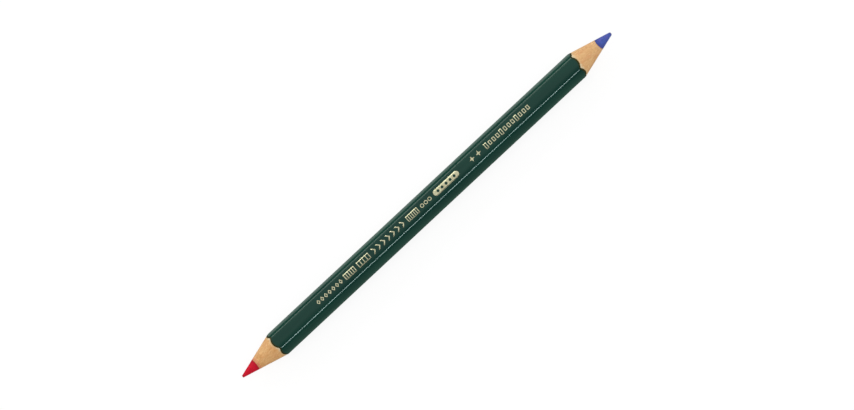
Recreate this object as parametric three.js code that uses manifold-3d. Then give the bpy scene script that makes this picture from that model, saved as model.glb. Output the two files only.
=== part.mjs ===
// A thick hexagonal pencil with a red point and a blue point, lying on one flat of its barrel.
// Millimetres, +Z up, +X from the red point towards the blue point. The origin is below the
// middle of the barrel, on the surface that the pencil lies on.
// Two grooved wooden slats are glued round two cores that meet end to end, milled to a hexagon,
// coated twice, stamped with foil on the upper face, and sharpened at both ends.
import * as THREE from "three";
import { mergeVertices } from "three/addons/utils/BufferGeometryUtils.js";
import Module from "manifold-3d";

const wasm = await Module();
wasm.setup();

// Length and points. A point is a small worn flat with a rounded edge, on the sharpened cone,
// whose axis lies a little aside (+Y) and above the barrel's, as it was held to be sharpened.
const overallLength = 175;
const coneHalfAngle = THREE.MathUtils.degToRad(15.2);
const redPoint = { wornFlat: 0.28, edgeRadius: 0.16, aside: 0.05, lift: 0.12 };
const bluePoint = { wornFlat: 0.05, edgeRadius: 0.62, aside: 0.08, lift: 0.07 };

// Cores. Their shared axis lies a little aside and above the barrel's too, as the slats were
// glued.
const coreDiameter = 4.1;
const coreAside = 0.06;
const coreLift = 0.26;
const coreJointGap = 0.04;

// Wood, milled to a hexagon with crowned faces and rounded corners. A face's crown is how far
// its middle stands above its ends.
const woodAcrossFlats = 9.24;
const woodCornerRadius = 1.07;
const faceCrown = 0.3;

// Films between and on the pieces, and the clearance on each side of a film
const filmClearance = 0.01;
const glueThickness = 0.05;
const groundCoatThickness = 0.06;
const lacquerThickness = 0.17;
const foilThickness = 0.03;

// Foil marks, spaced along the upper face from the middle of the barrel: rows of small marks,
// and single larger ones
const foilStroke = 0.28;
const foilMarkHeight = 2.3;
const diamondRow = { first: -50.4, pitch: 1.75, count: 7, width: 1.4, height: 1.8 };
const chevronRow = { first: -24.2, pitch: 2.25, count: 7, width: 1.5, strokeAlong: 0.5 };
const ringRow = { first: -1.35, pitch: 1.75, count: 3, diameter: 1.5 };
const windowRow = { first: 29, pitch: 1.78, count: 12, width: 1.15, tallEvery: 4, shortHeight: 1.6 };
const starPair = { first: 22.3, pitch: 3, count: 2, diameter: 2.3, waist: 0.8, rays: 4 };
const lattices = [
  { centre: -35.6, width: 4.9, bars: 4 },
  { centre: -29.1, width: 5.4, bars: 3 },
  { centre: -5.9, width: 5.2, bars: 5 },
];
const capsule = { centre: 10, length: 11.6, holeCount: 5, holeDiameter: 1.1, holePitch: 1.9 };

// Facets. A face has an odd number of them, so that the pencil lies on the middle one.
const coneFacets = 60;
const coreFacets = 40;
const faceFacets = 3;
const cornerFacets = 4;
const pointSteps = 4;
const roundMarkSteps = 6;

const coreRadius = coreDiameter / 2;
const grooveRadius = coreRadius + glueThickness + 2 * filmClearance;
const groundCoatInner = filmClearance;
const groundCoatOuter = groundCoatInner + groundCoatThickness;
const lacquerInner = groundCoatOuter + filmClearance;
const lacquerOuter = lacquerInner + lacquerThickness;
const foilInner = lacquerOuter + filmClearance;
const foilOuter = foilInner + foilThickness;
const barrelAxisHeight = woodAcrossFlats / 2 + lacquerOuter;

const lacquerGreen = { color: 0x27453a, roughness: 0.18, metalness: 0 };
const groundCoatCream = { color: 0xcdbd92, roughness: 0.7, metalness: 0 };
const barePaleWood = { color: 0xd9a870, roughness: 0.75, metalness: 0 };
const driedGlue = { color: 0xb98a4c, roughness: 0.5, metalness: 0 };
const waxyRed = { color: 0xc42234, roughness: 0.5, metalness: 0 };
const waxyBlue = { color: 0x4c5ba4, roughness: 0.5, metalness: 0 };
const paleGoldFoil = { color: 0xcfc48f, roughness: 0.3, metalness: 1 };

// A closed three.js geometry as a solid that can be cut and joined
function solidFrom(geometry) {
  const bare = geometry.clone();
  bare.deleteAttribute("normal");
  bare.deleteAttribute("uv");
  const merged = mergeVertices(bare);
  const vertProperties = new Float32Array(merged.attributes.position.array);
  const triVerts = new Uint32Array(merged.index.array);
  return new wasm.Manifold(new wasm.Mesh({ numProp: 3, vertProperties, triVerts }));
}

function geometryFrom(solid) {
  const mesh = solid.getMesh();
  const geometry = new THREE.BufferGeometry();
  geometry.setAttribute("position", new THREE.BufferAttribute(mesh.vertProperties, 3));
  geometry.setIndex(new THREE.BufferAttribute(mesh.triVerts, 1));
  geometry.computeVertexNormals();
  return geometry;
}

function towards(angle, distance) {
  return new THREE.Vector2(distance * Math.cos(angle), distance * Math.sin(angle));
}

// The hexagonal outline of the wood grown outwards by a coat, in the plane across the barrel.
// A face is part of a large circle and a corner part of a small one, and the two are tangent.
// The middle facet of a face touches the large circle.
function barrelOutline(grown) {
  const apothem = woodAcrossFlats / 2;
  const cornerDistance = (apothem - woodCornerRadius - faceCrown) / Math.cos(Math.PI / 6);
  const reach = cornerDistance / 2;
  const faceRadius = (reach * reach) / (2 * faceCrown) + faceCrown / 2 + woodCornerRadius;
  const faceAngle = Math.atan2(reach, faceRadius - woodCornerRadius - faceCrown);
  const faceStep = (2 * faceAngle) / faceFacets;
  const cornerStep = (Math.PI / 3 - 2 * faceAngle) / cornerFacets;
  const points = [];
  for (let face = 0; face < 6; face++) {
    const normal = Math.PI / 2 + (face * Math.PI) / 3;
    const faceCentre = towards(normal, apothem - faceRadius);
    for (let i = 1; i < faceFacets; i++) {
      const vertexRadius = (faceRadius + grown) / Math.cos(faceStep / 2);
      points.push(towards(normal - faceAngle + i * faceStep, vertexRadius).add(faceCentre));
    }
    const cornerCentre = towards(normal + Math.PI / 6, cornerDistance);
    for (let i = 0; i <= cornerFacets; i++) {
      const angle = normal + faceAngle + i * cornerStep;
      points.push(towards(angle, woodCornerRadius + grown).add(cornerCentre));
    }
  }
  return points;
}

// A shape drawn across the barrel, run along it for the whole length
function barrelPrism(shape) {
  const geometry = new THREE.ExtrudeGeometry(shape, {
    depth: overallLength,
    bevelEnabled: false,
  });
  geometry.translate(0, 0, -overallLength / 2);
  const across = new THREE.Vector3(0, 1, 0);
  const up = new THREE.Vector3(0, 0, 1);
  const alongBarrel = new THREE.Vector3(1, 0, 0);
  geometry.applyMatrix4(new THREE.Matrix4().makeBasis(across, up, alongBarrel));
  return solidFrom(geometry);
}

const grownBarrel = (grown) => barrelPrism(new THREE.Shape(barrelOutline(grown)));

// A round bar along the core's axis
function coreBar(radius) {
  const geometry = new THREE.CylinderGeometry(radius, radius, overallLength, coreFacets);
  geometry.rotateZ(-Math.PI / 2);
  geometry.translate(0, coreAside, coreLift);
  return solidFrom(geometry);
}

function block(size, centre) {
  const geometry = new THREE.BoxGeometry(size.x, size.y, size.z);
  geometry.translate(centre.x, centre.y, centre.z);
  return solidFrom(geometry);
}

// Half of a sharpened point's profile, as radius against distance from its tip
function pointProfile({ wornFlat, edgeRadius }, coneRadius) {
  const profile = [new THREE.Vector2(0, 0)];
  for (let i = 0; i <= pointSteps; i++) {
    const angle = ((Math.PI / 2 - coneHalfAngle) * i) / pointSteps;
    profile.push(
      new THREE.Vector2(
        wornFlat + edgeRadius * Math.sin(angle),
        edgeRadius * (1 - Math.cos(angle)),
      ),
    );
  }
  const edge = profile[profile.length - 1];
  const coneLength = (coneRadius - edge.x) / Math.tan(coneHalfAngle);
  profile.push(new THREE.Vector2(coneRadius, edge.y + coneLength));
  return profile;
}

// All that a sharpener leaves at the red (-1) or the blue (+1) end: the worn point and the cone,
// and behind them a round bar with room for the barrel, longer than the pencil
function sharpenedBar(end, point) {
  const offset = Math.hypot(point.aside, point.lift);
  const barRadius = woodAcrossFlats / 2 / Math.cos(Math.PI / 6) + foilOuter + offset;
  const barLength = 1.1 * overallLength;
  const profile = [
    ...pointProfile(point, barRadius),
    new THREE.Vector2(barRadius, barLength),
    new THREE.Vector2(0, barLength),
  ].map((p) => new THREE.Vector2(p.x, end * (overallLength / 2 - p.y)));
  if (end > 0) profile.reverse();
  const geometry = new THREE.LatheGeometry(profile, coneFacets);
  geometry.rotateZ(-Math.PI / 2);
  geometry.translate(0, point.aside, point.lift);
  return solidFrom(geometry);
}

const envelope = sharpenedBar(-1, redPoint).intersect(sharpenedBar(1, bluePoint));
const wood = grownBarrel(0);

const pencil = new THREE.Group();
pencil.name = "pencil";
pencil.position.z = barrelAxisHeight;

function addPiece(name, solid, finish) {
  const piece = new THREE.Mesh(geometryFrom(solid), new THREE.MeshStandardMaterial(finish));
  piece.name = name;
  pencil.add(piece);
}

// The half of the wood above (+1) or below (-1) the glued joint, with its half of the groove
function slat(side) {
  const height = woodAcrossFlats;
  const jointGap = glueThickness / 2 + filmClearance;
  const half = block(
    new THREE.Vector3(overallLength, 2 * woodAcrossFlats, height),
    new THREE.Vector3(0, 0, coreLift + side * (jointGap + height / 2)),
  );
  return wood.intersect(half).subtract(coreBar(grooveRadius)).intersect(envelope);
}

// A core from the middle of the pencil to the red (-1) or the blue (+1) point
function core(end) {
  const half = block(
    new THREE.Vector3(overallLength, 2 * coreDiameter, 2 * coreDiameter),
    new THREE.Vector3((end * (overallLength + coreJointGap)) / 2, 0, coreLift),
  );
  return coreBar(coreRadius).intersect(half).intersect(envelope);
}

// The glue that fills the joint between the slats and the groove round the cores
function glueFilm() {
  const joint = block(
    new THREE.Vector3(overallLength, 2 * woodAcrossFlats, glueThickness),
    new THREE.Vector3(0, 0, coreLift),
  );
  return coreBar(grooveRadius - filmClearance)
    .add(joint)
    .subtract(coreBar(coreRadius + filmClearance))
    .intersect(wood)
    .intersect(envelope);
}

function coat(inner, outer) {
  return grownBarrel(outer).subtract(grownBarrel(inner)).intersect(envelope);
}

// A foil mark, from its outline and holes seen from above, bent to the lacquer of the upper
// face. Where the sharpener has cut the barrel, it has cut the foil too.
const foilSheet = grownBarrel(foilOuter).subtract(grownBarrel(foilInner)).intersect(envelope);

function standing(outline, centre) {
  const geometry = new THREE.ExtrudeGeometry(outline, {
    depth: woodAcrossFlats,
    bevelEnabled: false,
    curveSegments: roundMarkSteps,
  });
  geometry.translate(centre, 0, 0);
  return solidFrom(geometry);
}

function addFoil(name, { outline, holes = [] }, centre) {
  const stamp = holes.reduce(
    (rest, hole) => rest.subtract(standing(hole, centre)),
    standing(outline, centre),
  );
  const mark = stamp.intersect(foilSheet);
  if (!mark.isEmpty()) addPiece(name, mark, paleGoldFoil);
}

function addFoilRow(name, markOf, { first, pitch, count }) {
  for (let i = 0; i < count; i++) {
    addFoil(`${name}_${i + 1}`, markOf(i), first + i * pitch);
  }
}

function polygon(points) {
  return new THREE.Shape(points.map(([x, y]) => new THREE.Vector2(x, y)));
}

function rectangle(width, height, centreX = 0) {
  const left = centreX - width / 2;
  const right = centreX + width / 2;
  const top = height / 2;
  return polygon([
    [left, -top],
    [right, -top],
    [right, top],
    [left, top],
  ]);
}

function circle(radius, centreX = 0) {
  return new THREE.Shape().absarc(centreX, 0, radius, 0, 2 * Math.PI, false);
}

function rhombus(halfWidth, halfHeight) {
  return polygon([
    [-halfWidth, 0],
    [0, -halfHeight],
    [halfWidth, 0],
    [0, halfHeight],
  ]);
}

function diamond({ width, height }) {
  const inset = foilStroke * Math.hypot(width, height);
  const hole = rhombus(width / 2 - inset / height, height / 2 - inset / width);
  return { outline: rhombus(width / 2, height / 2), holes: [hole] };
}

function chevron({ width, strokeAlong }) {
  const top = foilMarkHeight / 2;
  const left = -width / 2;
  const right = width / 2;
  const outline = polygon([
    [left, -top],
    [left + strokeAlong, -top],
    [right, 0],
    [left + strokeAlong, top],
    [left, top],
    [right - strokeAlong, 0],
  ]);
  return { outline };
}

function ring({ diameter }) {
  return { outline: circle(diameter / 2), holes: [circle(diameter / 2 - foilStroke)] };
}

function star({ diameter, waist, rays }) {
  const points = [];
  for (let i = 0; i < 2 * rays; i++) {
    const radius = (i % 2 ? waist : diameter) / 2;
    const angle = (i * Math.PI) / rays;
    points.push([radius * Math.cos(angle), radius * Math.sin(angle)]);
  }
  return { outline: polygon(points) };
}

// A frame crossed by upright bars
function lattice({ width, bars }) {
  const openings = bars + 1;
  const pitch = (width - foilStroke) / openings;
  const holes = [];
  for (let i = 0; i < openings; i++) {
    const centreX = (i - bars / 2) * pitch;
    holes.push(rectangle(pitch - foilStroke, foilMarkHeight - 2 * foilStroke, centreX));
  }
  return { outline: rectangle(width, foilMarkHeight), holes };
}

// A filled bar with round ends and a row of round holes
function piercedCapsule({ length, holeCount, holeDiameter, holePitch }) {
  const endRadius = foilMarkHeight / 2;
  const straight = length / 2 - endRadius;
  const outline = new THREE.Shape();
  outline.absarc(straight, 0, endRadius, -Math.PI / 2, Math.PI / 2, false);
  outline.absarc(-straight, 0, endRadius, Math.PI / 2, (3 * Math.PI) / 2, false);
  const holes = [];
  for (let i = 0; i < holeCount; i++) {
    holes.push(circle(holeDiameter / 2, (i - (holeCount - 1) / 2) * holePitch));
  }
  return { outline, holes };
}

// An open upright frame, tall or short by its place in the row
function upright({ width, tallEvery, shortHeight }, index) {
  const height = index % tallEvery ? shortHeight : foilMarkHeight;
  const hole = rectangle(width - 2 * foilStroke, height - 2 * foilStroke);
  return { outline: rectangle(width, height), holes: [hole] };
}

addPiece("slat_upper", slat(1), barePaleWood);
addPiece("slat_lower", slat(-1), barePaleWood);
addPiece("core_red", core(-1), waxyRed);
addPiece("core_blue", core(1), waxyBlue);
addPiece("glue_film", glueFilm(), driedGlue);
addPiece("ground_coat", coat(groundCoatInner, groundCoatOuter), groundCoatCream);
addPiece("lacquer_coat", coat(lacquerInner, lacquerOuter), lacquerGreen);

addFoilRow("foil_diamond", () => diamond(diamondRow), diamondRow);
addFoilRow("foil_chevron", () => chevron(chevronRow), chevronRow);
addFoilRow("foil_ring", () => ring(ringRow), ringRow);
addFoilRow("foil_star", () => star(starPair), starPair);
addFoilRow("foil_window", (i) => upright(windowRow, i), windowRow);
lattices.forEach((shape, i) => addFoil(`foil_lattice_${i + 1}`, lattice(shape), shape.centre));
addFoil("foil_capsule", piercedCapsule(capsule), capsule.centre);

export default pencil;
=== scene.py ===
"""A thick bicolour pencil: green lacquer over a cream ground coat, bare wood cones sharpened at
both ends to a red and a blue point, and pale gold foil marks along the upper face.

The fine pieces follow the frame. Lengths of the pencil are in millimetres until a mesh is made,
and those of the stage round it are in metres. A section point is (y, z), with z counted from the
barrel's axis on the pencil and from the floor on the stage. An end is -1 for red and +1 for blue.
"""
import math

import bmesh
import bpy
from mathutils import Matrix, Vector, noise


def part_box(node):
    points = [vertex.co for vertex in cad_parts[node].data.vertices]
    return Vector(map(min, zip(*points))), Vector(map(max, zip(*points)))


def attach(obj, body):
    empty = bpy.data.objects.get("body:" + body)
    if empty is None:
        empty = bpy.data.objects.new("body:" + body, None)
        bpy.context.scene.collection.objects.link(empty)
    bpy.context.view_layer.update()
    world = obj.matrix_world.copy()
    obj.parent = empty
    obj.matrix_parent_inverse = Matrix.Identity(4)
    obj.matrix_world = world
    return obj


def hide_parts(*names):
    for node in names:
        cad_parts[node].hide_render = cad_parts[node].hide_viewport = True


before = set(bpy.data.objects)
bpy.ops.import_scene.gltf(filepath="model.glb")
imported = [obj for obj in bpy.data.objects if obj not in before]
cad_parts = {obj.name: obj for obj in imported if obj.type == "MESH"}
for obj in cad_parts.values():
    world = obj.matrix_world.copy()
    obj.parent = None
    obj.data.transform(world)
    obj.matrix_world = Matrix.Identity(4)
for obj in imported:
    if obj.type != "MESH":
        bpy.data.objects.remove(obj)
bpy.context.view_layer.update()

METRES = 0.001


def node_box(name):
    low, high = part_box(name)
    return low / METRES, high / METRES


# Sizes from the frame
coat_low, coat_high = node_box("lacquer_coat")
core_low, core_high = node_box("core_blue")
HALF_LENGTH = core_high.x
AXIS_HEIGHT = (coat_low.z + coat_high.z) / 2
CORE_RADIUS = (core_high.y - core_low.y) / 2
CORE_ASIDE = (core_low.y + core_high.y) / 2
CORE_LIFT = (core_low.z + core_high.z) / 2 - AXIS_HEIGHT
CORE_JOINT_X = core_low.x
BARREL_APOTHEM = (coat_high.z - coat_low.z) / 2

# Sizes that the frame's pieces were made from. The axis of a sharpened cone lies aside (+Y) and
# above the barrel's.
CONE_ANGLE = math.radians(15.2)
RED_POINT = {"worn_flat": 0.28, "edge_radius": 0.16, "aside": 0.05, "lift": 0.12}
BLUE_POINT = {"worn_flat": 0.05, "edge_radius": 0.62, "aside": 0.08, "lift": 0.07}
CLEARANCE = 0.01
GLUE_THICKNESS = 0.05
GROUND_THICKNESS = 0.06
LACQUER_THICKNESS = 0.17
WOOD_CORNER_RADIUS = 1.07
FACE_CROWN = 0.3
CORNERS = 6

GROUND_INNER = CLEARANCE
GROUND_OUTER = GROUND_INNER + GROUND_THICKNESS
LACQUER_INNER = GROUND_OUTER + CLEARANCE
LACQUER_OUTER = LACQUER_INNER + LACQUER_THICKNESS
WOOD_APOTHEM = BARREL_APOTHEM - LACQUER_OUTER
GROOVE_RADIUS = CORE_RADIUS + GLUE_THICKNESS + 2 * CLEARANCE
POINT_EDGE_TURN = math.pi / 2 - CONE_ANGLE

# How finely the pieces are divided
FACE_STEPS = 30
CORNER_STEPS = 16
BARREL_STEPS = 48
WOOD_CUT_STEPS = 64
COAT_CUT_STEPS = 3
GLUE_CUT_STEPS = 1
CORE_SIDES = 160
CORE_CUT_STEPS = 44
POINT_STEPS = 10
FLAT_STEPS = 4
CORE_BACK_STEPS = 4

# Edges that bend by more degrees than this look sharp
SHELL_SHARP_DEGREES = 8
CORE_SHARP_DEGREES = 40

# Relief that the sharpener leaves, and that the wood's grain leaves under it. What is named
# per mm is how many features noise has to the millimetre along X, Y and Z.
BLADE_PITCH = 0.42
BLADE_HEIGHT = 0.005
CHATTER_PER_MM = (0.9, 0.8, 0.8)
CHATTER_HEIGHT = 0.01
CHATTER_BEND = 3
COARSE_GRAIN_PER_MM = (0.22, 2.6, 2.6)
FINE_GRAIN_PER_MM = (0.6, 7, 7)
FINE_GRAIN_SHIFT = 7
COARSE_GRAIN_SHARE = 0.65
FINE_GRAIN_SHARE = 0.35
GRAIN_HEIGHT = 0.016
GRAIN_FADE = 0.5

# Vertices off the cut are given this distance from the inside and outside of their shell
OFF_THE_CUT = 1e3

# Where materials change: the bare wood starts at about this X at each end, what the cores smear
# on it is red or blue from this X on, and painted shade darkens the cores this close to their edge
# and tip
BARE_WOOD_X = 70
SMEAR_X = 1
SHADED_EDGE_WIDTH = 0.4
SHADED_TIP_LENGTH = 1.0


def barrel_outline(grown):
    """The rounded hexagon of the wood, grown outwards by a coat, as section points.

    A face is part of a large circle and a corner part of a small one, and the two are tangent.
    Two outlines with different growth have their points on the same normals.
    """
    half_turn = math.pi / CORNERS
    corner_distance = (WOOD_APOTHEM - WOOD_CORNER_RADIUS - FACE_CROWN) / math.cos(half_turn)
    reach = corner_distance / 2
    face_radius = reach * reach / (2 * FACE_CROWN) + FACE_CROWN / 2 + WOOD_CORNER_RADIUS
    face_angle = math.atan2(reach, face_radius - WOOD_CORNER_RADIUS - FACE_CROWN)
    points = []

    def add_arc(direction, distance, radius, half_angle, steps):
        """Part of a circle whose centre lies that far out in the direction it faces."""
        for i in range(steps):
            angle = direction - half_angle + 2 * half_angle * i / steps
            points.append((distance * math.cos(direction) + radius * math.cos(angle),
                           distance * math.sin(direction) + radius * math.sin(angle)))

    for face in range(CORNERS):
        normal = math.pi / 2 + face * 2 * half_turn
        add_arc(normal, WOOD_APOTHEM - face_radius, face_radius + grown, face_angle, FACE_STEPS)
        add_arc(normal + half_turn, corner_distance, WOOD_CORNER_RADIUS + grown,
                half_turn - face_angle, CORNER_STEPS)
    return points


def point_edge(point):
    """Radius and distance from the tip where a point's rounded edge meets the cone."""
    return (point["worn_flat"] + point["edge_radius"] * math.sin(POINT_EDGE_TURN),
            point["edge_radius"] * (1 - math.cos(POINT_EDGE_TURN)))


def point_of(end):
    return RED_POINT if end < 0 else BLUE_POINT


def from_cone_axis(end, y, z):
    """How far a section point is from the axis of the sharpened cone of an end."""
    point = point_of(end)
    return math.hypot(y - point["aside"], z - point["lift"])


def cone_x(end, radius):
    """Where the sharpened cone of an end has that radius."""
    edge_radius, edge_depth = point_edge(point_of(end))
    return end * (HALF_LENGTH - edge_depth - (radius - edge_radius) / math.tan(CONE_ANGLE))


def noise_at(x, y, z, per_mm, shift=0.0):
    """Noise round 0 at a place on the pencil."""
    return noise.noise(Vector((x * per_mm[0] + shift, y * per_mm[1], z * per_mm[2])))


def blade_marks(x, y, z):
    """Height of the ridges that the blade leaves round the cone, on every piece that it cut."""
    turn = math.atan2(z, y)
    chatter = noise_at(x, y, z, CHATTER_PER_MM)
    ridge = math.sin(2 * math.pi * x / BLADE_PITCH + turn + CHATTER_BEND * chatter)
    return BLADE_HEIGHT * ridge + CHATTER_HEIGHT * chatter


def wood_grain(x, y, z):
    """Height of the fibres that stand up from the cut wood, long in X and narrow across it."""
    coarse = noise_at(x, y, z, COARSE_GRAIN_PER_MM)
    fine = noise_at(x, y, z, FINE_GRAIN_PER_MM, FINE_GRAIN_SHIFT)
    return GRAIN_HEIGHT * (COARSE_GRAIN_SHARE * coarse + FINE_GRAIN_SHARE * fine)


def on_cone(end, y, z, height=0.0):
    """A point of the cone of an end over a section point, lifted off it by a height."""
    point = point_of(end)
    radius = from_cone_axis(end, y, z)
    outwards = math.cos(CONE_ANGLE) * height / radius
    return Vector((cone_x(end, radius) + end * math.sin(CONE_ANGLE) * height,
                   y + outwards * (y - point["aside"]), z + outwards * (z - point["lift"])))


def to_metres(point):
    return Vector((point.x, point.y, point.z + AXIS_HEIGHT)) * METRES


def finish_mesh(name, mesh, sharp_degrees):
    """Points the faces outwards, shades them smoothly between sharp edges, and makes the piece."""
    work = bmesh.new()
    work.from_mesh(mesh)
    bmesh.ops.recalc_face_normals(work, faces=work.faces)
    work.to_mesh(mesh)
    work.free()
    mesh.polygons.foreach_set("use_smooth", [True] * len(mesh.polygons))
    mesh.set_sharp_from_angle(angle=math.radians(sharp_degrees))
    piece = bpy.data.objects.new(name, mesh)
    bpy.context.scene.collection.objects.link(piece)
    return piece


def add_distances(mesh, name, values):
    mesh.attributes.new(name, "FLOAT", "POINT").data.foreach_set("value", values)


def shell_faces(columns, rows, cut_steps, closed):
    """The faces between the columns of a shell, and for each whether it lies on a cut.

    A shell that isn't closed gets a face over its first and its last column.
    """
    faces, cut_faces = [], []
    for column in range(columns if closed else columns - 1):
        here = column * rows
        there = (column + 1) % columns * rows
        for row in range(rows):
            up = (row + 1) % rows
            faces.append((here + row, here + up, there + up, there + row))
            cut_faces.append(row < cut_steps or rows - 1 - cut_steps <= row < rows - 1)
    if not closed:
        faces.append(tuple(range(rows)))
        faces.append(tuple(range((columns - 1) * rows, columns * rows)))
        cut_faces += [False, False]
    return faces, cut_faces


def cut_shell(name, outer, inner, cut_steps, closed=True, grainy=False):
    """A sleeve between two outlines, or part of one, sharpened at both ends.

    Its columns run along the barrel: up the red cut face, along the outside and down the blue
    cut face. Each vertex knows how far it is, on the cut, from the sleeve's inside and outside.
    """
    vertices, from_inside, from_outside = [], [], []

    def cut_point(end, inside, outside, share):
        y = inside[0] + (outside[0] - inside[0]) * share
        z = inside[1] + (outside[1] - inside[1]) * share
        across = from_cone_axis(end, *outside) - from_cone_axis(end, *inside)
        width = across / math.sin(CONE_ANGLE)
        x = cone_x(end, from_cone_axis(end, y, z))
        height = blade_marks(x, y, z)
        if grainy:
            fade = min(1, width * share / GRAIN_FADE, width * (1 - share) / GRAIN_FADE)
            height += fade * wood_grain(x, y, z)
        vertices.append(to_metres(on_cone(end, y, z, height)))
        from_inside.append(width * share)
        from_outside.append(width * (1 - share))

    for outside, inside in zip(outer, inner):
        for i in range(cut_steps + 1):
            cut_point(-1, inside, outside, i / cut_steps)
        start, stop = (cone_x(end, from_cone_axis(end, *outside)) for end in (-1, 1))
        for i in range(1, BARREL_STEPS):
            x = start + (stop - start) * i / BARREL_STEPS
            vertices.append(to_metres(Vector((x, *outside))))
            from_inside.append(OFF_THE_CUT)
            from_outside.append(OFF_THE_CUT)
        for i in range(cut_steps, -1, -1):
            cut_point(1, inside, outside, i / cut_steps)
    columns = len(outer)
    faces, cut_faces = shell_faces(columns, len(vertices) // columns, cut_steps, closed)
    mesh = bpy.data.meshes.new(name)
    mesh.from_pydata(vertices, [], faces)
    add_distances(mesh, "from_inside", from_inside)
    add_distances(mesh, "from_outside", from_outside)
    mesh.polygons.foreach_set("material_index", [int(cut) for cut in cut_faces])
    return finish_mesh(name, mesh, SHELL_SHARP_DEGREES)


def circle_round_core(radius):
    angles = [2 * math.pi * i / CORE_SIDES for i in range(CORE_SIDES)]
    return [(CORE_ASIDE + radius * math.cos(a), CORE_LIFT + radius * math.sin(a)) for a in angles]


def outline_y_at(outline, height):
    """How far the outline reaches along +Y at a height above the barrel's axis."""
    for first, second in zip(outline, outline[1:] + outline[:1]):
        low, high = sorted((first, second), key=lambda point: point[1])
        if first[0] > 0 and low[1] <= height < high[1]:
            share = (height - low[1]) / (high[1] - low[1])
            return low[0] + share * (high[0] - low[0])
    raise ValueError("the outline doesn't pass that height")


def make_slat(name, side):
    """The wood above (+1) or below (-1) the glued joint, with its half of the groove."""
    outline = barrel_outline(0)
    joint_height = CORE_LIFT + side * (GLUE_THICKNESS / 2 + CLEARANCE)
    outer = [p for p in outline if side * (p[1] - joint_height) > CLEARANCE]
    outer.sort(key=lambda p: math.atan2(side * (p[1] - joint_height), p[0]))
    inner = []
    for y, z in outer:
        share = GROOVE_RADIUS / math.hypot(y - CORE_ASIDE, z - CORE_LIFT)
        inner.append((CORE_ASIDE + (y - CORE_ASIDE) * share, CORE_LIFT + (z - CORE_LIFT) * share))
    reach = outline_y_at(outline, joint_height)
    groove_reach = math.sqrt(GROOVE_RADIUS ** 2 - (joint_height - CORE_LIFT) ** 2)
    outer = [(reach, joint_height), *outer, (-reach, joint_height)]
    inner = [(CORE_ASIDE + groove_reach, joint_height), *inner,
             (CORE_ASIDE - groove_reach, joint_height)]
    return cut_shell(name, outer, inner, WOOD_CUT_STEPS, closed=False, grainy=True)


def make_glue():
    """The sleeve of glue round the cores, and the glued joint on each side of it."""
    sleeve = cut_shell("glue_sleeve", circle_round_core(GROOVE_RADIUS - CLEARANCE),
                       circle_round_core(CORE_RADIUS + CLEARANCE), GLUE_CUT_STEPS)
    outline = barrel_outline(0)
    joint_parts = []
    for side, name in ((1, "glue_joint_back"), (-1, "glue_joint_front")):
        outer, inner = [], []
        for edge in (-1, 1):
            height = CORE_LIFT + edge * GLUE_THICKNESS / 2
            outer.append((side * outline_y_at(outline, height), height))
            inner.append((CORE_ASIDE + side * GROOVE_RADIUS, height))
        joint_parts.append(cut_shell(name, outer, inner, WOOD_CUT_STEPS, closed=False))
    return [sleeve, *joint_parts]


def core_edge_radius(end, angle):
    """Distance from the cone's axis to the core's surface in a direction across the barrel."""
    point = point_of(end)
    aside, lift = CORE_ASIDE - point["aside"], CORE_LIFT - point["lift"]
    towards = aside * math.cos(angle) + lift * math.sin(angle)
    return towards + math.sqrt(CORE_RADIUS ** 2 - aside ** 2 - lift ** 2 + towards ** 2)


def core_column(end, angle):
    """A core's surface in one direction across it: along the barrel from the joint, up the cut,
    round the edge of the point and over its worn flat."""
    point = point_of(end)
    edge_radius, _ = point_edge(point)
    outer_radius = core_edge_radius(end, angle)
    column = []

    def section_point(radius):
        return (point["aside"] + radius * math.cos(angle),
                point["lift"] + radius * math.sin(angle))

    back_x = end * CORE_JOINT_X
    front_x = cone_x(end, outer_radius)
    for i in range(CORE_BACK_STEPS):
        x = back_x + (front_x - back_x) * i / CORE_BACK_STEPS
        column.append(Vector((x, *section_point(outer_radius))))
    for i in range(CORE_CUT_STEPS + 1):
        radius = outer_radius + (edge_radius - outer_radius) * i / CORE_CUT_STEPS
        y, z = section_point(radius)
        column.append(on_cone(end, y, z, blade_marks(cone_x(end, radius), y, z)))
    for i in range(1, POINT_STEPS + 1):
        bend = POINT_EDGE_TURN * (1 - i / POINT_STEPS)
        radius = point["worn_flat"] + point["edge_radius"] * math.sin(bend)
        depth = point["edge_radius"] * (1 - math.cos(bend))
        column.append(Vector((end * (HALF_LENGTH - depth), *section_point(radius))))
    for i in range(1, FLAT_STEPS):
        radius = point["worn_flat"] * (1 - i / FLAT_STEPS)
        column.append(Vector((end * HALF_LENGTH, *section_point(radius))))
    return column


def make_core(name, end):
    """A core from the joint in the middle of the pencil to its sharpened and worn point."""
    point = point_of(end)
    vertices, faces = [], []
    for column in range(CORE_SIDES):
        vertices += core_column(end, 2 * math.pi * column / CORE_SIDES)
    rows = len(vertices) // CORE_SIDES
    for column in range(CORE_SIDES):
        here = column * rows
        there = (column + 1) % CORE_SIDES * rows
        for row in range(rows - 1):
            faces.append((here + row, here + row + 1, there + row + 1, there + row))
    tip = len(vertices)
    vertices.append(Vector((end * HALF_LENGTH, point["aside"], point["lift"])))
    middle = len(vertices)
    vertices.append(Vector((end * CORE_JOINT_X, CORE_ASIDE, CORE_LIFT)))
    for column in range(CORE_SIDES):
        after = (column + 1) % CORE_SIDES
        faces.append((column * rows + rows - 1, tip, after * rows + rows - 1))
        faces.append((column * rows, after * rows, middle))
    mesh = bpy.data.meshes.new(name)
    mesh.from_pydata([to_metres(v) for v in vertices], [], faces)
    return finish_mesh(name, mesh, CORE_SHARP_DEGREES)


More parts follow.
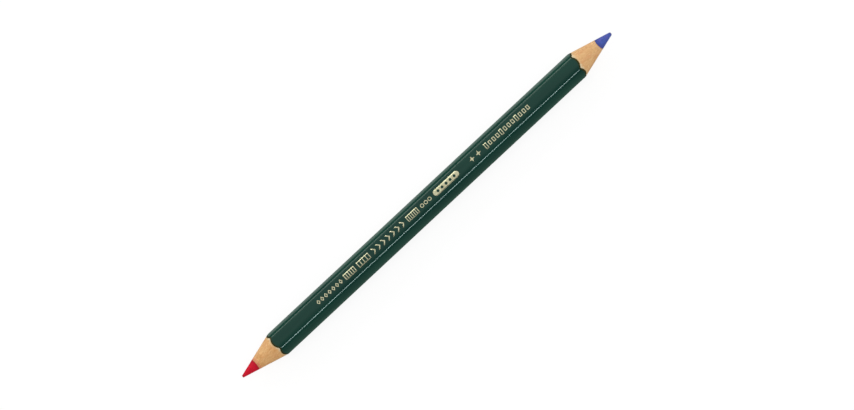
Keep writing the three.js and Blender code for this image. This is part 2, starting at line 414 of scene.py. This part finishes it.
def add_node(tree, kind, inputs=None, **settings):
    """A shader node with its settings, and its inputs by name as values or as sockets."""
    made = tree.nodes.new(kind)
    for key, value in settings.items():
        setattr(made, key, value)
    for key, value in (inputs or {}).items():
        if isinstance(value, bpy.types.NodeSocket):
            tree.links.new(value, made.inputs[key])
        else:
            made.inputs[key].default_value = value
    return made


def srgb(red, green, blue):
    """A colour as a picture shows it, from 0 to 255, as the linear colour that a shader takes."""
    linear = []
    for channel in (red, green, blue):
        share = channel / 255
        linear.append(share / 12.92 if share <= 0.04045 else ((share + 0.055) / 1.055) ** 2.4)
    return (*linear, 1.0)


def start_material(name):
    material = bpy.data.materials.new(name)
    material.use_nodes = True
    tree = material.node_tree
    return material, tree, tree.nodes["Principled BSDF"]


def object_point(tree):
    """The place on the piece, in metres."""
    return add_node(tree, "ShaderNodeTexCoord").outputs["Object"]


def point_parts(tree):
    return add_node(tree, "ShaderNodeSeparateXYZ", {"Vector": object_point(tree)}).outputs


def noise_field(tree, per_mm, detail=3.0, roughness=0.55, distortion=0.0):
    """Noise with that many features to the millimetre along X, Y and Z, from 0 to 1."""
    scaled = add_node(tree, "ShaderNodeMapping",
                      {"Vector": object_point(tree), "Scale": [n / METRES for n in per_mm]})
    field = add_node(tree, "ShaderNodeTexNoise",
                     {"Vector": scaled.outputs["Vector"], "Scale": 1.0, "Detail": detail,
                      "Roughness": roughness, "Distortion": distortion})
    return field.outputs["Fac"]


def spread(tree, value, low, high, to_low=0.0, to_high=1.0):
    """The value moved from one range to another, and kept inside it."""
    mapped = add_node(tree, "ShaderNodeMapRange",
                      {"Value": value, "From Min": low, "From Max": high,
                       "To Min": to_low, "To Max": to_high})
    return mapped.outputs["Result"]


def blended(tree, share, first, second):
    """The first colour where the share is 0, and the second where it is 1."""
    mixed = add_node(tree, "ShaderNodeMixRGB",
                     {"Fac": share, "Color1": first, "Color2": second}, blend_type="MIX")
    return mixed.outputs["Color"]


def calculated(tree, operation, first, second):
    result = add_node(tree, "ShaderNodeMath", operation=operation)
    for socket, value in zip(result.inputs, (first, second)):
        if isinstance(value, bpy.types.NodeSocket):
            tree.links.new(value, socket)
        else:
            socket.default_value = value
    return result.outputs["Value"]


def vector_result(tree, operation, first, second):
    result = add_node(tree, "ShaderNodeVectorMath", {0: first, 1: second}, operation=operation)
    return result.outputs["Vector"]


def connect(tree, value, shader, name):
    tree.links.new(value, shader.inputs[name])


def bumped(tree, shader, height, distance_mm):
    bump = add_node(tree, "ShaderNodeBump",
                    {"Height": height, "Distance": distance_mm * METRES, "Strength": 1.0})
    connect(tree, bump.outputs["Normal"], shader, "Normal")


def ragged_distance(tree, name, per_mm, swing):
    """A distance that the vertices know, in millimetres, made longer and shorter by noise."""
    known = add_node(tree, "ShaderNodeAttribute", attribute_name=name).outputs["Fac"]
    change = spread(tree, noise_field(tree, per_mm), 0.3, 0.7, -swing, swing)
    return calculated(tree, "ADD", known, change)


def lacquer_material():
    """Glossy dark green lacquer, with a faint orange peel and slow changes of depth, and a green
    sheen where it is seen at a flat angle."""
    material, tree, shader = start_material("green_lacquer")
    depth = noise_field(tree, (0.03, 0.25, 0.25))
    colour = blended(tree, spread(tree, depth, 0.3, 0.7), srgb(17, 47, 43), srgb(23, 59, 51))
    connect(tree, colour, shader, "Base Color")
    polish = noise_field(tree, (0.5, 1.5, 1.5))
    connect(tree, spread(tree, polish, 0.3, 0.7, 0.11, 0.15), shader, "Roughness")
    shader.inputs["IOR"].default_value = 1.29
    shader.inputs["Specular Tint"].default_value = (0.82, 1.0, 0.88, 1.0)
    shader.inputs["Sheen Weight"].default_value = 0.14
    shader.inputs["Sheen Roughness"].default_value = 0.5
    shader.inputs["Sheen Tint"].default_value = (0.12, 1.0, 0.48, 1.0)
    bumped(tree, shader, noise_field(tree, (0.15, 1.2, 1.2), detail=2.0), 0.002)
    return material


def lacquer_cut_material():
    """The cut edge of the lacquer: dull, thin enough to look olive brown towards the wood."""
    material, tree, shader = start_material("cut_lacquer")
    from_wood = ragged_distance(tree, "from_inside", (2, 2, 2), 0.1)
    colour = blended(tree, spread(tree, from_wood, 0.05, 0.6), srgb(60, 52, 18),
                     srgb(40, 52, 30))
    connect(tree, colour, shader, "Base Color")
    shader.inputs["Roughness"].default_value = 0.6
    shader.inputs["IOR"].default_value = 1.15
    bumped(tree, shader, noise_field(tree, (6, 6, 6)), 0.01)
    return material


def corner_share(tree):
    """1 along the corners of the barrel and 0 along the middle of its faces."""
    parts = point_parts(tree)
    height = calculated(tree, "SUBTRACT", parts["Z"], AXIS_HEIGHT * METRES)
    turn = calculated(tree, "ARCTAN2", height, parts["Y"])
    wave = calculated(tree, "COSINE", calculated(tree, "MULTIPLY", turn, CORNERS), 0.0)
    return spread(tree, wave, 0.0, 1.0)


def ground_material():
    """Matt cream ground coat, mottled where the blade crumbled it, and palest at the corners."""
    material, tree, shader = start_material("cream_ground_coat")
    mottle = noise_field(tree, (3, 3, 3))
    colour = blended(tree, spread(tree, mottle, 0.35, 0.65), srgb(196, 166, 118),
                     srgb(212, 182, 136))
    colour = blended(tree, corner_share(tree), colour, srgb(226, 216, 184))
    connect(tree, colour, shader, "Base Color")
    shader.inputs["Roughness"].default_value = 0.7
    shader.inputs["IOR"].default_value = 1.3
    bumped(tree, shader, noise_field(tree, (8, 8, 8)), 0.012)
    return material


def grain_colour(tree, along, fibres):
    """Straight pale grain that is a little redder at the red end, with warm bands, darker and
    paler fibres, and pores."""
    bands = noise_field(tree, (0.05, 0.9, 0.9), detail=2.0, distortion=0.4)
    end = spread(tree, along, -BARE_WOOD_X * METRES, BARE_WOOD_X * METRES)
    pale = blended(tree, end, srgb(234, 184, 124), srgb(229, 185, 130))
    ripe = blended(tree, end, srgb(221, 164, 102), srgb(220, 170, 115))
    colour = blended(tree, spread(tree, bands, 0.35, 0.65), pale, ripe)
    warmth = noise_field(tree, (0.3, 0.45, 0.45), detail=1.0)
    colour = blended(tree, spread(tree, warmth, 0.45, 0.75, 0.0, 0.35), colour,
                     srgb(222, 150, 104))
    colour = blended(tree, spread(tree, fibres, 0.5, 0.74, 0.0, 0.6), colour,
                     srgb(176, 122, 70))
    pale_fibres = noise_field(tree, (0.2, 3.2, 3.2), roughness=0.6, distortion=0.2)
    colour = blended(tree, spread(tree, pale_fibres, 0.52, 0.76, 0.0, 0.6), colour,
                     srgb(244, 208, 156))
    pores = noise_field(tree, (1.4, 9, 9), detail=1.0)
    return blended(tree, spread(tree, pores, 0.66, 0.76, 0.0, 0.45), colour, srgb(130, 84, 48))


def with_ground_coat(tree, colour):
    """The wood's colour with ground coat rubbed into its outer edge, most at the corners."""
    from_coat = ragged_distance(tree, "from_outside", (1.2, 2.5, 2.5), 0.35)
    rubbed_in = spread(tree, corner_share(tree), 0.0, 1.0, 0.2, 0.85)
    rubbed_in = calculated(tree, "MULTIPLY", rubbed_in,
                           spread(tree, from_coat, 0.0, 0.55, 1.0, 0.0))
    return blended(tree, rubbed_in, colour, srgb(228, 212, 174))


def with_core_smear(tree, along, colour):
    """The wood's colour with pigment dragged onto its inner edge: red, and less of the blue."""
    from_core = ragged_distance(tree, "from_inside", (1.5, 3, 3), 0.4)
    smear = spread(tree, from_core, 0.0, 0.9, 0.8, 0.0)
    red_side = spread(tree, along, -SMEAR_X * METRES, SMEAR_X * METRES, 1.0, 0.0)
    colour = blended(tree, calculated(tree, "MULTIPLY", smear, red_side), colour,
                     srgb(222, 112, 96))
    blue_side = spread(tree, along, -SMEAR_X * METRES, SMEAR_X * METRES, 0.0, 0.45)
    return blended(tree, calculated(tree, "MULTIPLY", smear, blue_side), colour,
                   srgb(196, 176, 152))


def wood_material():
    """Bare pale wood, with ground coat and pigment at the edges of the cut."""
    material, tree, shader = start_material("pale_wood")
    along = point_parts(tree)["X"]
    fibres = noise_field(tree, (0.25, 4.5, 4.5), detail=4.0, roughness=0.65)
    colour = grain_colour(tree, along, fibres)
    colour = with_ground_coat(tree, colour)
    colour = with_core_smear(tree, along, colour)
    connect(tree, colour, shader, "Base Color")
    shader.inputs["Roughness"].default_value = 0.72
    shader.inputs["IOR"].default_value = 1.3
    bumped(tree, shader, fibres, 0.03)
    return material


def painted_shade_share(tree):
    """How much painted shade darkens a core: up to 0.6 at its edge against the wood and 0.8 at its
    worn tip.
    """
    axis = Vector((0, CORE_ASIDE, CORE_LIFT + AXIS_HEIGHT)) * METRES
    from_axis = vector_result(tree, "SUBTRACT", object_point(tree), axis)
    across = vector_result(tree, "MULTIPLY", from_axis, (0.0, 1.0, 1.0))
    radius = add_node(tree, "ShaderNodeVectorMath", {0: across},
                      operation="LENGTH").outputs["Value"]
    shaded_edge_start = CORE_RADIUS - SHADED_EDGE_WIDTH
    edge = spread(tree, radius, shaded_edge_start * METRES, CORE_RADIUS * METRES, 0.0, 0.6)
    from_middle = calculated(tree, "ABSOLUTE", point_parts(tree)["X"], 0.0)
    shaded_tip_start = HALF_LENGTH - SHADED_TIP_LENGTH
    tip = spread(tree, from_middle, shaded_tip_start * METRES, HALF_LENGTH * METRES, 0.0, 0.8)
    return calculated(tree, "MAXIMUM", edge, tip)


def core_material(name, main, deep, tinted, painted_shade_colour):
    """Wax and pigment with a soft sheen, mottled and with tinted patches, and darkened by painted
    shade towards its edge and tip.
    """
    material, tree, shader = start_material(name)
    mottle = noise_field(tree, (0.7, 1.1, 1.1))
    colour = blended(tree, spread(tree, mottle, 0.35, 0.7), main, deep)
    patches = noise_field(tree, (0.35, 0.6, 0.6), detail=1.0)
    colour = blended(tree, spread(tree, patches, 0.5, 0.72, 0.0, 0.65), colour, tinted)
    # Painted shade towards the core's edge against the wood and over its tip
    colour = blended(tree, painted_shade_share(tree), colour, painted_shade_colour)
    connect(tree, colour, shader, "Base Color")
    sheen = noise_field(tree, (1.5, 1.5, 1.5))
    connect(tree, spread(tree, sheen, 0.3, 0.7, 0.6, 0.75), shader, "Roughness")
    shader.inputs["IOR"].default_value = 1.15
    bumped(tree, shader, noise_field(tree, (5, 5, 5), detail=4.0), 0.02)
    return material


def glue_material():
    """Dried wood glue, a little darker than the wood."""
    material, tree, shader = start_material("dried_glue")
    mottle = noise_field(tree, (1, 2, 2))
    colour = blended(tree, spread(tree, mottle, 0.35, 0.65), srgb(186, 138, 88),
                     srgb(206, 160, 108))
    connect(tree, colour, shader, "Base Color")
    shader.inputs["Roughness"].default_value = 0.5
    shader.inputs["IOR"].default_value = 1.3
    return material


def foil_material():
    """Pale gold stamping foil, with a fine grain from the lacquer under it."""
    material, tree, shader = start_material("pale_gold_foil")
    grain = noise_field(tree, (2.5, 2.5, 2.5))
    colour = blended(tree, spread(tree, grain, 0.35, 0.65), srgb(172, 170, 136),
                     srgb(208, 204, 172))
    connect(tree, colour, shader, "Base Color")
    connect(tree, spread(tree, grain, 0.3, 0.7, 0.26, 0.42), shader, "Roughness")
    shader.inputs["Metallic"].default_value = 1.0
    bumped(tree, shader, noise_field(tree, (4, 4, 4)), 0.008)
    return material


def place(piece, slot, materials, *nodes):
    """Gives a new piece its materials, says what it moves with, and hides the frame's pieces that
    it stands for.

    The cut faces of a shell take the second material, and the rest takes the first.
    """
    for material in materials:
        piece.data.materials.append(material)
    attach(piece, "root")
    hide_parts(*nodes)


lacquer = lacquer_material()
lacquer_cut = lacquer_cut_material()
ground_coat = ground_material()
wood = wood_material()
glue = glue_material()
foil = foil_material()
# The last colour of each core is the painted shade at its edge and tip
red_core = core_material("red_wax", srgb(220, 28, 51), srgb(196, 25, 47), srgb(228, 44, 58),
                         srgb(166, 24, 44))
blue_core = core_material("blue_wax", srgb(78, 97, 178), srgb(70, 86, 158), srgb(104, 90, 174),
                          srgb(62, 68, 130))

lacquer_coat = cut_shell("gloss_lacquer", barrel_outline(LACQUER_OUTER),
                         barrel_outline(LACQUER_INNER), COAT_CUT_STEPS)
place(lacquer_coat, "lacquer", (lacquer, lacquer_cut), "lacquer_coat")
cream_coat = cut_shell("cream_ground", barrel_outline(GROUND_OUTER),
                       barrel_outline(GROUND_INNER), COAT_CUT_STEPS)
place(cream_coat, "ground_coat", (ground_coat, ground_coat), "ground_coat")
place(make_slat("wood_upper", 1), "wood", (wood, wood), "slat_upper")
place(make_slat("wood_lower", -1), "wood", (wood, wood), "slat_lower")
place(make_core("red_point", -1), "red_core", (red_core,), "core_red")
place(make_core("blue_point", 1), "blue_core", (blue_core,), "core_blue")
for glue_piece in make_glue():
    place(glue_piece, "glue", (glue, glue), "glue_film")

for node_name, node_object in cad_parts.items():
    if node_name.startswith("foil_"):
        for material_slot in node_object.material_slots:
            material_slot.material = foil

# The floor and the world are white in the object's gloss and softer as lights. Behind the
# object, most of the floor's white is its own light, so that the shadow on it is faint.
FLOOR_HALF_SIZE = 3.0
FLOOR_BOUNCE = 0.8
FLOOR_SEEN = 0.14
FLOOR_OWN_LIGHT = 0.885
WORLD_LIGHT = 0.6

# Cards that only gloss sees, as the section points that each lies between, and their
# brightness. They run along the barrel: a black one over the front darkens that side of the
# upper face, a low black one on each side gives the corners their dark lines, a grey one stands
# below the front one, and grey ones lie just over the floor along both sides.
CARD_HALF_LENGTH = 0.8
FRONT_Y = -0.02
BACK_Y = 0.027
OVER_FLOOR = 0.0003
CARDS = {
    "high_front_card": ((-0.2, 0.56), (-0.57, 0.33), 0.0),
    "low_front_card": ((FRONT_Y, 0.0095), (FRONT_Y, 0.0142), 0.0),
    "grey_front_card": ((FRONT_Y, OVER_FLOOR), (FRONT_Y, 0.0095), 0.35),
    "floor_front_card": ((-0.008, OVER_FLOOR), (FRONT_Y, OVER_FLOOR), 0.4),
    "contact_front_card": ((-0.005, OVER_FLOOR), (-0.008, OVER_FLOOR), 0.1),
    "low_back_card": ((BACK_Y, 0.0), (BACK_Y, 0.0125), 0.0),
    "floor_back_card": ((0.009, OVER_FLOOR), (0.0125, OVER_FLOOR), 0.6),
    "contact_back_card": ((0.005, OVER_FLOOR), (0.009, OVER_FLOOR), 0.3),
}

# The high front card fades into the white through narrow cards beside it, each FADE_STEP
# degrees wide: how far each starts from upright in degrees, and its brightness
FADE_DISTANCE = 0.6
FADE_STEP = 3.2
FADE_CARDS = {6.0: 0.86, 9.2: 0.66, 12.4: 0.48, 15.6: 0.28}

# Two lamps of this size stand behind the pencil: one lights it, and one shows in its gloss
KEY_SIZE = (1.4, 0.36)

# A narrow lamp close to the front upper corner puts the hairline of light on it: the spot that
# it faces, and its size. Its narrow spread keeps it out of the views of the ends.
HAIRLINE_SPOT = (0, -0.002707, 0.009146)
HAIRLINE_SIZE = (0.1412, 0.00036)


def grey(brightness):
    return (brightness, brightness, brightness, 1.0)


def light_path(tree):
    """Two values: 1 for camera rays, and 1 for all rays that show the background, which are
    those from the camera, off gloss and through glass."""
    rays = add_node(tree, "ShaderNodeLightPath").outputs
    shown = calculated(tree, "MAXIMUM", rays["Is Camera Ray"], rays["Is Glossy Ray"])
    return rays["Is Camera Ray"], calculated(tree, "MAXIMUM", shown, rays["Is Transmission Ray"])


def make_sheet(name, material_name, corners):
    """A flat sheet of the stage, with a matt material that can glow white."""
    mesh = bpy.data.meshes.new(name)
    mesh.from_pydata(corners, [], [(0, 1, 2, 3)])
    sheet = bpy.data.objects.new(name, mesh)
    bpy.context.scene.collection.objects.link(sheet)
    material, tree, shader = start_material(material_name)
    shader.inputs["Roughness"].default_value = 1.0
    shader.inputs["Specular IOR Level"].default_value = 0.0
    shader.inputs["Emission Color"].default_value = grey(1.0)
    mesh.materials.append(material)
    return sheet, tree, shader


def make_floor():
    half = FLOOR_HALF_SIZE
    corners = [(-half, -half, 0), (half, -half, 0), (half, half, 0), (-half, half, 0)]
    floor, tree, shader = make_sheet("floor", "pale_floor", corners)
    from_camera, shown = light_path(tree)
    colour = blended(tree, shown, grey(FLOOR_BOUNCE), grey(1.0))
    colour = blended(tree, from_camera, colour, grey(FLOOR_SEEN))
    connect(tree, colour, shader, "Base Color")
    connect(tree, spread(tree, from_camera, 0.0, 1.0, 0.0, FLOOR_OWN_LIGHT), shader,
            "Emission Strength")


def add_card(name, first, second, brightness):
    """A card between two section points, which shows only in gloss."""
    half = CARD_HALF_LENGTH
    corners = [(-half, *first), (half, *first), (half, *second), (-half, *second)]
    card, _, shader = make_sheet(name, name, corners)
    shader.inputs["Base Color"].default_value = grey(0.0)
    shader.inputs["Emission Strength"].default_value = brightness
    card.visible_camera = False
    card.visible_diffuse = False
    card.visible_shadow = False


def add_fade_cards():
    """The narrow cards beside the high front card."""
    def front_of_upright(degrees):
        lean = math.radians(degrees)
        return (-FADE_DISTANCE * math.sin(lean), FADE_DISTANCE * math.cos(lean))

    for start, brightness in FADE_CARDS.items():
        add_card("fade_card", front_of_upright(start), front_of_upright(start + FADE_STEP),
                 brightness)


def light_world():
    world = bpy.data.worlds.new("studio")
    bpy.context.scene.world = world
    world.use_nodes = True
    tree = world.node_tree
    background = tree.nodes["Background"]
    _, shown = light_path(tree)
    connect(tree, spread(tree, shown, 0.0, 1.0, WORLD_LIGHT, 1.0), background, "Strength")
    background.inputs["Color"].default_value = grey(1.0)


def add_area_light(name, azimuth, elevation, distance, size, watts, glossy=True, diffuse=True,
                   target=(0, 0, 0), spread_degrees=180, colour=(1, 1, 1)):
    """A rectangular lamp, long in X, which faces a target. Azimuth and elevation are in degrees,
    and azimuth 0 is the front (-Y)."""
    lamp = bpy.data.lights.new(name, "AREA")
    lamp.shape = "RECTANGLE"
    lamp.size, lamp.size_y = size
    lamp.energy = watts
    lamp.color = colour
    lamp.spread = math.radians(spread_degrees)
    light = bpy.data.objects.new(name, lamp)
    bpy.context.scene.collection.objects.link(light)
    turn, rise = math.radians(azimuth), math.radians(elevation)
    away = Vector((math.sin(turn) * math.cos(rise), -math.cos(turn) * math.cos(rise),
                   math.sin(rise)))
    side = Vector((math.cos(turn), math.sin(turn), 0))
    turned = Matrix((side, away.cross(side), away)).transposed().to_4x4()
    light.matrix_world = Matrix.Translation(Vector(target) + away * distance) @ turned
    light.visible_camera = False
    light.visible_glossy = glossy
    light.visible_diffuse = diffuse


def make_camera():
    """The photograph's view: from the side of -Y, rolled, with a long lens.

    The picture is frame_width metres wide at the pencil, and its middle lies aim_x and aim_y
    millimetres from the middle of the pencil.
    """
    lens, sensor, frame_width = 200.0, 36.0, 0.2967
    rise, roll = math.radians(77.7), math.radians(43)
    aim_x, aim_y = 0.03, 0.04
    target = Vector((aim_x, aim_y, AXIS_HEIGHT)) * METRES
    back = Vector((0, -math.cos(rise), math.sin(rise)))
    along = Vector((1, 0, 0))
    upright = back.cross(along)
    right = along * math.cos(roll) - upright * math.sin(roll)
    up = along * math.sin(roll) + upright * math.cos(roll)
    camera_data = bpy.data.cameras.new("camera")
    camera_data.lens = lens
    camera_data.sensor_width = sensor
    camera_data.clip_end = 20
    camera = bpy.data.objects.new("camera", camera_data)
    bpy.context.scene.collection.objects.link(camera)
    turned = Matrix((right, up, back)).transposed().to_4x4()
    camera.matrix_world = Matrix.Translation(target + back * lens * frame_width / sensor) @ turned
    bpy.context.scene.camera = camera


make_floor()
light_world()
for card_name, card_place in CARDS.items():
    add_card(card_name, *card_place)
add_fade_cards()
add_area_light("key_softbox", azimuth=180, elevation=31, distance=0.9, size=KEY_SIZE,
               watts=2.7, glossy=False)
add_area_light("key_gloss", azimuth=180, elevation=30, distance=0.8, size=KEY_SIZE,
               watts=7.1, diffuse=False, colour=(0.95, 1.0, 0.94))
add_area_light("top_fill", azimuth=0, elevation=86, distance=1.2, size=(1.2, 1.2),
               watts=2.8, glossy=False)
add_area_light("side_fill", azimuth=75, elevation=25, distance=1.2, size=(0.8, 0.8),
               watts=2.6, glossy=False)
add_area_light("hairline", azimuth=0, elevation=24.3, distance=0.001, size=HAIRLINE_SIZE,
               watts=0.00205, diffuse=False, target=HAIRLINE_SPOT, spread_degrees=120,
               colour=(0.83, 0.9, 1.0))
make_camera()
bpy.context.scene.view_settings.view_transform = "Standard"
